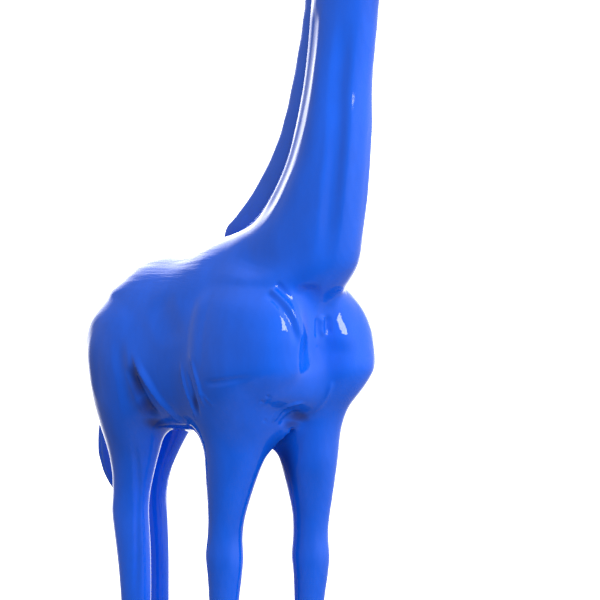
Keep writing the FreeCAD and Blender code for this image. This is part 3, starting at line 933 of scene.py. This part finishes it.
def sculpt(points, quads):
    """Muscle, tendon and skin folds, as strokes on the right side, most of them repeated on the left."""
    normals = vertex_normals(points, quads)
    shape = (points - world((0, 0, 0))) / MM

    def draw(*args, **kwargs):
        stroke(shape, normals, *args, **kwargs)

    # neck: ledge under the mane, hollow beside it, long muscle, jugular groove, windpipe
    draw(neck_line(58, 1450, 2110, 12), 12, 3, kind="ridge", ends=(0.05, 0.05))
    draw(neck_line(32, 1500, 2080, 10), 34, -4, ends=(0.15, 0.1))
    draw(neck_line(-2, 1440, 2080, 10), 44, 4)
    draw([(-56, -528, 2040), (-59, -508, 1880), (-60, -500, 1730), (-64, -486, 1580), (-64, -470, 1465),
          (-60, -440, 1370)], 34, -10, ends=(0.2, 0.25))
    draw([(-34, -535, 1860), (-38, -525, 1740), (-41, -514, 1600), (-42, -500, 1480)], 26, 3)
    # shoulder: soft ridge behind, crease where the arm begins
    draw([(-166, -120, 1340), (-187, -124, 1290), (-204, -123, 1222), (-212, -123, 1156),
          (-211, -114, 1109)], 40, 4, limb="front", ends=(0.3, 0.2))
    draw([(-216, -159, 1080), (-220, -212, 1088), (-214, -264, 1097), (-202, -308, 1106),
          (-188, -343, 1115)], 15, -3.5, limb="front", ends=(0.25, 0.45))
    # front edge of the right shoulder blade, standing proud over the breast
    draw([(-143, -338, 1343), (-132, -378, 1314), (-119, -401, 1278), (-109, -412, 1239),
          (-101, -415, 1192)], 32, 11, kind="fold", both=False, ends=(0.1, 0.25))
    # breast furrow, and on the left shoulder a bar of muscle and a low swelling
    draw([(-89, -405, 1354), (-75, -405, 1310), (-70, -411, 1258), (-65, -410, 1205), (-61, -402, 1152),
          (-40, -374, 1100)], 52, -11, both=False, ends=(0.12, 0.35))
    draw([(-6, -395, 1268), (-5, -399, 1248), (-4, -399, 1229), (0, -395, 1206)],
         30, 10, kind="fold", both=False)
    draw([(70, -398, 1330), (55, -412, 1290), (42, -418, 1246), (38, -422, 1205), (36, -424, 1160)],
         54, 9, both=False)
    # armpit: two long folds with a furrow between them, and short wrinkles ahead
    draw([(-208, -61, 1140), (-204, -68, 1083), (-199, -78, 1042), (-188, -86, 1007), (-171, -78, 960)],
         11, 7.5, kind="ridge", limb="front")
    draw([(-209, -108, 1170), (-214, -125, 1116), (-213, -136, 1079), (-206, -140, 1046),
          (-192, -143, 1005)], 13, 6.5, kind="ridge", limb="front")
    draw([(-212, -90, 1120), (-207, -102, 1065), (-198, -108, 1020), (-182, -104, 975)],
         13, -7, kind="crease", limb="front")
    for low_y, low_z in ((-158, 1050), (-170, 1034), (-182, 1020), (-176, 1062)):
        draw([(-200, low_y, low_z), (-208, low_y + 28, low_z + 22)], 8, 2.4, kind="ridge", limb="front")
    # haunch: hollow behind the flank, tail-side swelling
    draw([(-224, 190, 1200), (-229, 180, 1120), (-220, 172, 1060), (-205, 174, 1005),
          (-184, 186, 940)], 36, -6, limb="hind")
    draw([(-205, 300, 1210), (-214, 320, 1130), (-205, 330, 1050), (-182, 330, 980)], 50, 4, limb="hind")
    # flank: broad hollow, fold of skin down to the belly, deep pocket behind it
    draw([(-178, 70, 1310), (-198, 30, 1262), (-204, -5, 1215), (-205, -30, 1165)], 66, -6)
    draw([(-140, -20, 946), (-146, 25, 962), (-167, 42, 985), (-189, 66, 1020), (-209, 89, 1064),
          (-217, 117, 1105), (-224, 138, 1150)], 26, 9, kind="lip", ends=(0.15, 0.25))
    draw([(-228, 146, 1110), (-221, 130, 1060), (-206, 116, 1017), (-187, 108, 982), (-156, 102, 950)],
         28, -12, ends=(0.3, 0.2))
    # second thigh and hock
    draw([(-172, 195, 930), (-140, 222, 820), (-124, 237, 725), (-123, 244, 634),
          (-125, 243, 545), (-126, 248, 440), (-126, 250, 340)], 16, -5, limb="hind")
    draw([(-128, 300, 760), (-122, 330, 680), (-120, 345, 640)], 20, 4, limb="hind")
    # brisket: a lip of skin over a hollow, and a fold on the left side of the breast
    draw([(-83, -286, 973), (-76, -306, 1004), (-62, -338, 1028), (-45, -350, 1032), (-25, -352, 1028)],
         11, 6, kind="ridge", both=False, ends=(0.2, 0.25))
    draw([(-50, -283, 958), (-38, -300, 983), (-10, -323, 1004)], 20, -7, both=False)
    draw([(27, -406, 1092), (24, -380, 1040), (14, -330, 992)], 11, 5, kind="ridge", both=False,
         ends=(0.2, 0.3))
    for x, y, z in ((-142, -332, 1056), (-145, -312, 1041), (-109, -286, 984), (-84, -340, 1048)):
        draw([(x - 4, y - 4, z), (x + 4, y + 4, z)], 7, -2.5, ends=(0.01, 0.01))
    # knee and cannon of the front leg
    draw([(-128, -196, 640), (-132, -190, 585), (-128, -190, 540)], 18, 3.5, limb="front")
    draw([(-118, -150, 520), (-117, -150, 420), (-117, -150, 300)], 12, -3, limb="front")
    # lips and the jaw line
    mouth = [(-46, -225, -84), (-45, -290, -84), (-41, -340, -86), (-30, -375, -88), (0, -392, -88)]
    draw(head_place(mouth), 8, -4.5, kind="crease", ends=(0.1, 0.0))
    jaw = [(-66, -30, -120), (-64, -90, -126), (-52, -160, -112), (-46, -220, -100)]
    draw(head_place(jaw), 16, 3)
    return world(shape)


def plane_cut(bm, point, normal, low=(-9, -9, -9), high=(9, 9, 9)):
    """Adds edges where a plane crosses the faces whose centres lie in a box."""
    faces = [f for f in bm.faces
             if all(low[k] <= c <= high[k] for k, c in enumerate(f.calc_center_median()))]
    edges = {e for f in faces for e in f.edges}
    verts = {v for f in faces for v in f.verts}
    bmesh.ops.bisect_plane(bm, geom=list(verts) + list(edges) + faces, dist=1e-6,
                           plane_co=point, plane_no=normal)


def head_point():
    return Vector(world(HEAD_SEAM))


def head_normal():
    return Vector((0, -math.sin(HEAD_PITCH), math.cos(HEAD_PITCH)))


WAIST = Y0 + 60 * MM          # between the front legs and the hind legs


def leg_line(leg):
    return side_of(leg) * (FRONT_LEG[-1][1] + STEP[leg][0]) * MM


def node_of(centres):
    """Which skin node each face belongs to, as an index into SKIN_NODES, or -1 for none."""
    x, y, z = centres.T
    index = np.full(len(centres), -1)
    point, normal = head_point(), head_normal()
    in_head = ((centres - np.array(point)) @ np.array(normal) > 0) & (z > NECK_SEAM)
    left = x > 0
    for i, name in enumerate(SKIN_NODES):
        same = left if "left" in name else ~left
        if name.startswith("head"):
            hit = in_head & same
        elif name.startswith("neck"):
            hit = ~in_head & (z > NECK_SEAM) & same
        elif name.startswith("torso"):
            hit = (z > LEG_SEAM) & (z < NECK_SEAM) & same
        else:
            leg = name[4:].rsplit("_", 1)[0]
            fore = y < WAIST
            hit = (z < LEG_SEAM) & (z > HOOF_TOP) & same & (fore if "front" in name else ~fore)
            outward = (x - leg_line(leg)) * side_of(leg) > 0
            hit &= outward if name.endswith("outer") else ~outward
        index[hit] = i
    return index


SKIN_NODES = (
    ["torso_shell_" + s for s in SIDES] + ["neck_shell_" + s for s in SIDES]
    + ["head_shell_" + s for s in SIDES]
    + ["leg_%s_%s" % (leg, half) for leg in LEGS for half in ("outer", "inner")])


def slit(bm):
    """Edges along every seam of the skin."""
    near = 0.03
    plane_cut(bm, (0, 0, 0), (1, 0, 0), low=(-near, -9, -9), high=(near, 9, 9))
    for level in (LEG_SEAM, NECK_SEAM, HOOF_TOP):
        plane_cut(bm, (0, 0, level), (0, 0, 1), low=(-9, -9, level - near), high=(9, 9, level + near))
    plane_cut(bm, head_point(), head_normal(), low=(-9, -9, 1.9))
    for leg in LEGS:
        x = leg_line(leg)
        front, back = (-9, WAIST) if leg.startswith("front") else (WAIST, 9)
        plane_cut(bm, (x, 0, 0), (1, 0, 0), low=(x - near, front, 0), high=(x + near, back, LEG_SEAM + 1e-4))


def cut_surface(points, quads):
    mesh = bpy.data.meshes.new("skin_draft")
    mesh.from_pydata(points.tolist(), [], quads.tolist())
    bm = bmesh.new()
    bm.from_mesh(mesh)
    slit(bm)
    bm.to_mesh(mesh)
    bm.free()
    surface = Surface.of_mesh(mesh)
    bpy.data.meshes.remove(mesh)
    return surface


def build_skin(material):
    drafts = [(body_field(), False), (head_field(), True)]
    for field, is_head in drafts:
        points, quads = field.mesh(COAT)
        points = smooth_mesh(points, quads, 4)
        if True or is_head:
            points, quads = finer(points, quads)
        points = sculpt(points, quads)
        whole = cut_surface(points, quads)
        normals = whole.normals()
        owner = node_of(whole.centres())
        for i, name in enumerate(SKIN_NODES):
            if name.startswith("head") != is_head:
                continue
            surface, used = whole.part(owner == i)
            obj = thick_piece("skin_" + name, surface, normals[used], SKIN_WALL)
            finish_piece(obj, name, material)


# ---------------------------------------------------------------- cast pieces
def rings_object(name, rings, material, node):
    """A closed piece through rings of points, given from one end to the other, in table units."""
    count = len(rings[0])
    points = [p for ring in rings for p in ring]
    points += [np.mean(rings[0], axis=0), np.mean(rings[-1], axis=0)]
    faces = []
    for i in range(len(rings) - 1):
        for j in range(count):
            a, b = i * count + j, i * count + (j + 1) % count
            faces.append((a, b, b + count, a + count))
    first, last = len(points) - 2, len(points) - 1
    base = (len(rings) - 1) * count
    for j in range(count):
        k = (j + 1) % count
        faces.append((first, k, j))
        faces.append((last, base + j, base + k))
    smooth_object(name, world(points), faces, material, node)


def smooth_object(name, points, faces, material, node):
    mesh = bpy.data.meshes.new(name)
    mesh.from_pydata(np.asarray(points).tolist(), [], [list(f) for f in faces])
    bm = bmesh.new()
    bm.from_mesh(mesh)
    bmesh.ops.recalc_face_normals(bm, faces=bm.faces)
    bm.to_mesh(mesh)
    bm.free()
    shade_smooth(mesh)
    finish_piece(placed(name, mesh), node, material)


# mane: z, y inside the crest, free edge y, half thickness
MANE = [
    (1440, -190, -40, 12),
    (1462, -196, -10, 20),
    (1492, -208, -20, 26),
    (1530, -250, -66, 29),
    (1620, -320, -155, 31),
    (1750, -375, -240, 31),
    (1900, -400, -291, 30),
    (2050, -420, -326, 29),
    (2200, -440, -348, 26),
    (2290, -440, -372, 18),
    (2318, -440, -395, 8),
]


def build_mane(material):
    """A stiff upright mane: a rounded slab with shallow locks along its sides."""
    curve = pchip(MANE)
    rings = []
    for z in np.linspace(MANE[0][0], MANE[-1][0], 260):
        front, back, half = curve(z)
        depth, middle_y = (back - front) / 2, (back + front) / 2
        ring = []
        for a in np.linspace(0, 2 * math.pi, 44, endpoint=False):
            c, s = math.cos(a), math.sin(a)
            u = math.copysign(abs(s) ** 0.45, s)
            free = np.clip((u + 0.2) / 1.2, 0, 1)
            lock = math.sin(z / 13.0 + 2.2 * u + 0.7 * math.sin(z / 47.0))
            wide = half * math.copysign(abs(c) ** 0.5, c) * (1 - 0.55 * free)
            ring.append((wide + math.copysign(0.4, c) * free * lock * (abs(c) > 1e-6),
                         middle_y + depth * u, z))
        rings.append(ring)
    rings_object("mane_crest", rings, material, "mane")


# tail: z, front y, back y, half width
TAIL_STEM = [(1262, 400, 446, 20), (1200, 440, 505, 22), (1120, 486, 534, 19),
             (1020, 520, 558, 15), (905, 527, 562, 14)]
TAIL_TUFT = [(905, 527, 562, 14), (850, 518, 580, 22), (790, 506, 580, 28),
             (735, 497, 560, 25), (692, 492, 534, 15), (668, 496, 513, 5)]


def tail_rings(rows, locks, count):
    curve = pchip(rows)
    rings = []
    zs = [row[0] for row in rows]
    for z in np.linspace(max(zs), min(zs), count):
        front, back, half = curve(z)
        down = (max(zs) - z) / (max(zs) - min(zs))
        ring = []
        for a in np.linspace(0, 2 * math.pi, 72, endpoint=False):
            wave = 0.6 * math.sin(9 * a + 3.0 * down) + 0.4 * math.sin(14 * a - 4.0 * down + 1.0)
            swell = 1 + locks * max(math.sin(math.pi * down), 0.0) ** 0.6 * wave
            ring.append((half * math.cos(a) * swell,
                         (front + back) / 2 + (back - front) / 2 * math.sin(a) * swell, z))
        rings.append(ring)
    return rings


def build_tail(material):
    rings_object("tail_dock", tail_rings(TAIL_STEM, 0.0, 60), material, "tail_stem")
    rings_object("tail_switch", tail_rings(TAIL_TUFT, 0.07, 90), material, "tail_tuft")


# hooves: z, x of centre, half width, front y, back y
FRONT_HOOF = [(96, 92, 42, -246, -142), (50, 92, 49, -260, -136), (0, 92, 54, -272, -132)]
HIND_HOOF = [(96, 92, 42, 272, 380), (50, 92, 48, 260, 385), (0, 92, 53, 248, 390)]
HOOF_POWER = 2.2              # squareness of a hoof's plan
BAND_LEVELS, BAND_PROUD, BAND_BLEND = (84.0, 94.0), 3.0, 5.0
# the parting of the toes: how far back it runs, its half width there, its flare, its top, its rounding
CLEFT_DEPTH, CLEFT_HALF, CLEFT_FLARE, CLEFT_TOP, CLEFT_BLEND = 46.0, 5.0, 0.12, 78.0, 5.0
BORE_R, BORE_DEPTH = 11.2, 54.0
SHARP = 0.5                   # blend of a crisp edge
ROD_Y = {"front": -183.0, "hind": 340.0}


def build_hoof(leg, material):
    """Two toes that part in front, with a rounded band under the skin and a flat sole."""
    rows = FRONT_HOOF if leg.startswith("front") else HIND_HOOF
    curve = pchip(rows)
    out, step = STEP[leg]
    x_mid = side_of(leg) * (rows[0][1] + out)
    front, back = rows[-1][3] + step, rows[-1][4] + step
    field = Field((x_mid - 70, front - 20, -12), (x_mid + 70, back + 20, 112), HOOF_VOXEL)
    cut, x, y, z = field.window(field.low, field.low + field.voxel * field.count)
    _, half, fore, rear = (c.astype(np.float32)[None, None, :] for c in curve(z[0, 0]).T)
    fore, rear = fore + step, rear + step
    u = np.abs(x - x_mid)
    ends = np.maximum(-z, z - rows[0][0])
    middle_y, deep = (fore + rear) / 2, (rear - fore) / 2
    whole = oval(u, y - middle_y, half, deep, HOOF_POWER)
    field.join(cut, capped(whole, ends).astype(np.float32), SHARP)
    band = oval(u, y - middle_y, half + BAND_PROUD, deep + BAND_PROUD, HOOF_POWER)
    band = capped(band, np.maximum(BAND_LEVELS[0] - z, z - BAND_LEVELS[1]))
    field.join(cut, band.astype(np.float32), BAND_BLEND)
    tip = fore + CLEFT_DEPTH
    cleft = np.maximum(u - CLEFT_HALF - (tip - y) * CLEFT_FLARE, y - tip)
    cleft = np.maximum(cleft, z - CLEFT_TOP)
    field.carve(cut, cleft.astype(np.float32), CLEFT_BLEND)
    bore = np.sqrt(u * u + (y - ROD_Y[leg.split("_")[0]] - step) ** 2) - BORE_R
    field.carve(cut, np.maximum(bore, z - BORE_DEPTH).astype(np.float32), SHARP)
    points, quads = field.mesh()
    points = smooth_mesh(points, quads, 2)
    points[:, 2] = np.maximum(points[:, 2], 0.0)
    points, quads = finer(points, quads)
    points[:, 2] = np.maximum(points[:, 2], 0.0)
    smooth_object("cloven_hoof_" + leg, points, quads, material, "hoof_" + leg)


# ears, along their own axis: distance, half width, front y, back y
EAR = [(0, 15, -13, 13), (22, 22, -14, 13), (55, 34, -15, 12), (95, 36, -13, 9),
       (130, 24, -9, 6), (156, 6, -4, 2)]
EAR_BASE, EAR_AXIS = (52.0, 6.0, -22.0), (0.86, 0.24, 0.44)
OSSICONE = [(-30, 21), (0, 20), (30, 17), (60, 15.5), (80, 17), (94, 18.5), (106, 16), (113, 8)]
OSSICONE_BASE, OSSICONE_AXIS = (32.0, -22.0, 12.0), (0.13, 0.52, 0.84)


def own_axes(axis, side):
    """Three axes for a piece that stands on the head: across, back, and along its length."""
    up = head_turn((side * axis[0], axis[1], axis[2]))
    up /= np.linalg.norm(up)
    back = np.array([0.0, 1.0, 0.0])
    back -= up * (back @ up)
    back /= np.linalg.norm(back)
    return np.stack([np.cross(back, up), back, up])


def on_head(rings, base, axes, side):
    root = head_place((side * base[0], base[1], base[2]))[0]
    return [np.array(ring) @ axes + root for ring in rings]


def build_ear(side, sign, material):
    """A leaf cupped towards the front, thick at its root and thin at its rim."""
    curve = pchip(EAR)
    rings = []
    for t in np.linspace(0, 1, 70):
        z = EAR[-1][0] * (1 - (1 - t) ** 1.4)
        half, front, back = curve(z)
        open_share = np.clip((z - 14) / 40, 0, 1) ** 0.8
        wall = (back - front) * (1 - open_share) + 5.0 * open_share * np.clip((160 - z) / 40, 0.3, 1)
        ring = []
        for a in np.linspace(-math.pi / 2, math.pi / 2, 26):
            ring.append((half * math.sin(a), front + (back - front) * math.cos(a) ** 0.9, z))
        for a in np.linspace(math.pi / 2, -math.pi / 2, 26)[1:-1]:
            deep = max((back - front) * math.cos(a) ** 0.9 - wall, -1.5)
            fold = 1.6 * open_share * math.cos(3 * a) * math.cos(a) ** 2
            ring.append(((half - 3.0 * open_share) * math.sin(a), front + deep + fold, z))
        rings.append(ring)
    rings = on_head(rings, EAR_BASE, own_axes(EAR_AXIS, sign), sign)
    rings_object("ear_leaf_" + side, rings, material, "ear_" + side)


def build_horn(side, sign, material):
    """A short skin-covered horn with a knob and faint rings."""
    curve = pchip(OSSICONE)
    rings = []
    for z in np.linspace(OSSICONE[0][0], OSSICONE[-1][0], 110):
        r = float(curve(z)[0]) + 0.35 * math.sin(z / 2.6) * np.clip(z / 30, 0, 1) * (z < 84)
        ring = []
        for a in np.linspace(0, 2 * math.pi, 48, endpoint=False):
            lump = 1 + 0.02 * math.sin(3 * a + z / 20.0) + 0.012 * math.sin(7 * a - z / 9.0)
            ring.append((r * lump * math.cos(a), r * lump * math.sin(a), z))
        rings.append(ring)
    dome = float(curve(OSSICONE[-1][0])[0])
    for k in (0.7, 0.35):
        rings.append([(p[0] * k, p[1] * k, OSSICONE[-1][0] + dome * 0.25 * (1 - k)) for p in rings[-1]])
    rings = on_head(rings, OSSICONE_BASE, own_axes(OSSICONE_AXIS, sign), sign)
    rings_object("horn_" + side, rings, material, "ossicone_" + side)


def build_eye(side, sign, material):
    """An eyeball with a raised cornea and an engraved iris, looking out and a little forward."""
    axes = own_axes((0.93, -0.36, 0.06), sign)
    rings = []
    for t in np.linspace(math.pi * 0.98, 0.0, 70):
        r = EYE_R + 1.3 * math.exp(-(t / 0.55) ** 4) - 0.9 * math.exp(-((t - 0.52) / 0.05) ** 2)
        r -= 1.0 * math.exp(-(t / 0.2) ** 4)
        rings.append([(r * math.sin(t) * math.cos(a), r * math.sin(t) * math.sin(a), r * math.cos(t))
                      for a in np.linspace(0, 2 * math.pi, 60, endpoint=False)])
    rings = rings[:-1]
    rings = on_head(rings, EYE_SPOT, axes, sign)
    rings_object("eyeball_" + side, rings, material, "eye_" + side)


# ---------------------------------------------------------------- studio
CAMERA_AZIMUTH = math.radians(-42.0)
CAMERA_DISTANCE = 3.8
CAMERA_HEIGHT = 1.53
AIM_RIGHT, AIM_DOWN = 0.0579, 0.0639
FOCAL = 1335.0 / 600.0
SENSOR = 36.0


def add_camera():
    ahead = Vector((-math.sin(CAMERA_AZIMUTH), math.cos(CAMERA_AZIMUTH), 0))
    right = Vector((math.cos(CAMERA_AZIMUTH), math.sin(CAMERA_AZIMUTH), 0))
    place = Vector((0, Y0, CAMERA_HEIGHT)) - ahead * CAMERA_DISTANCE
    aim = ahead + right * AIM_RIGHT - Vector((0, 0, AIM_DOWN))
    data = bpy.data.cameras.new("camera")
    data.sensor_width = SENSOR
    data.lens = FOCAL * SENSOR
    camera = placed("camera", data)
    camera.location = place
    camera.rotation_euler = aim.to_track_quat("-Z", "Y").to_euler()
    bpy.context.scene.camera = camera


FLOOR_RADIUS = 12.0
FLOOR_CLEAR = (0.9, 1.5)      # the floor fades out between these distances from the statue


def add_floor():
    bm = bmesh.new()
    bmesh.ops.create_grid(bm, x_segments=24, y_segments=24, size=FLOOR_RADIUS)
    mesh = bpy.data.meshes.new("floor")
    bm.to_mesh(mesh)
    bm.free()
    floor = placed("floor", mesh)
    mat = Shader("pale_floor")
    mat.set(Roughness=0.8)
    speckle = mat.noise(30.0, 4.0)
    pale = mat.ramp(speckle, [(0.3, (0.9, 0.9, 0.895)), (0.7, (0.94, 0.94, 0.935))])
    # painted shade: the floor is pale only to camera rays and dim grey to all other light, which darkens
    # what it throws onto the statue's underside
    floor_painted_shade = mat.ramp(speckle, [(0.3, (0.24, 0.235, 0.23)), (0.7, (0.27, 0.265, 0.26))])
    seen = mat.nodes.new("ShaderNodeLightPath").outputs["Is Camera Ray"]
    mat.link(mat.blend(seen, floor_painted_shade, pale), "Base Color")
    mat.link(mat.span(length_of(mat.tree, mat.place), *FLOOR_CLEAR, 1.0, 0.0), "Alpha")
    floor.data.materials.append(mat.material)


BEHIND = (0.669, 0.743, 0.0)      # direction of the white wall behind the statue
TO_RIGHT = (0.743, -0.669, 0.0)   # direction of a broad window to one side of it
SKYLIGHT = (0.36, 0.78, 0.51)     # direction of a soft skylight, high behind the statue


def add_world():
    """White room: brightest behind and above the statue, dimmer in front of it and below."""
    world_data = bpy.data.worlds.new("studio")
    world_data.use_nodes = True
    tree = world_data.node_tree
    nodes, links = tree.nodes, tree.links
    back = nodes["Background"]
    way = nodes.new("ShaderNodeTexCoord").outputs["Generated"]

    def facing(direction, low, high, dark, bright):
        dot = nodes.new("ShaderNodeVectorMath")
        dot.operation = "DOT_PRODUCT"
        dot.inputs[1].default_value = direction
        links.new(way, dot.inputs[0])
        return map_range(tree, dot.outputs["Value"], (low, high), (dark, bright), smooth=True)

    def total(first, *others):
        for other in others:
            first = combine(tree, "ADD", first, other)
        return first

    wall = facing(BEHIND, 0.64, 0.96, 0.46, 3.2)
    window = facing(TO_RIGHT, -0.25, 0.95, 0.0, 0.8)
    skylight = facing(SKYLIGHT, 0.82, 0.98, 0.0, 3.0)
    ceiling = facing((0, 0, 1), 0.35, 0.95, 0.0, 0.4)
    ground = facing((0, 0, 1), -0.6, 0.15, 0.45, 1.0)
    level = combine(tree, "MULTIPLY", total(wall, window, skylight, ceiling), ground)
    seen = nodes.new("ShaderNodeLightPath").outputs["Is Camera Ray"]
    links.new(combine(tree, "MAXIMUM", level, seen), back.inputs["Strength"])
    back.inputs["Color"].default_value = (1, 1, 1, 1)
    bpy.context.scene.world = world_data
    bpy.context.scene.view_settings.view_transform = "Standard"


LAMP_PLACE, LAMP_AIM = (-1.5, -3.9, 3.1), (0, -0.15, 1.25)
LAMP_SIZE, LAMP_WATTS = (1.8, 2.0), 130


def add_lamp():
    """A tall soft light high beside the camera."""
    data = bpy.data.lights.new("key", "AREA")
    data.shape = "RECTANGLE"
    data.size, data.size_y = LAMP_SIZE
    data.energy = LAMP_WATTS
    lamp = placed("key", data)
    lamp.location = LAMP_PLACE
    lamp.visible_camera = False
    lamp.rotation_euler = (Vector(LAMP_AIM) - Vector(LAMP_PLACE)).to_track_quat("-Z", "Y").to_euler()


def main():
    blue = lacquer("blue_lacquer")
    eye_blue = lacquer("eye_lacquer", (0.0008, 0.07, 0.62))
    build_skin(blue)
    build_mane(blue)
    build_tail(blue)
    for leg in LEGS:
        build_hoof(leg, blue)
    for side, sign in SIDES.items():
        build_ear(side, sign, blue)
        build_horn(side, sign, blue)
        build_eye(side, sign, eye_blue)
    dress_hidden_pieces()
    add_camera()
    add_floor()
    add_world()
    add_lamp()


main()
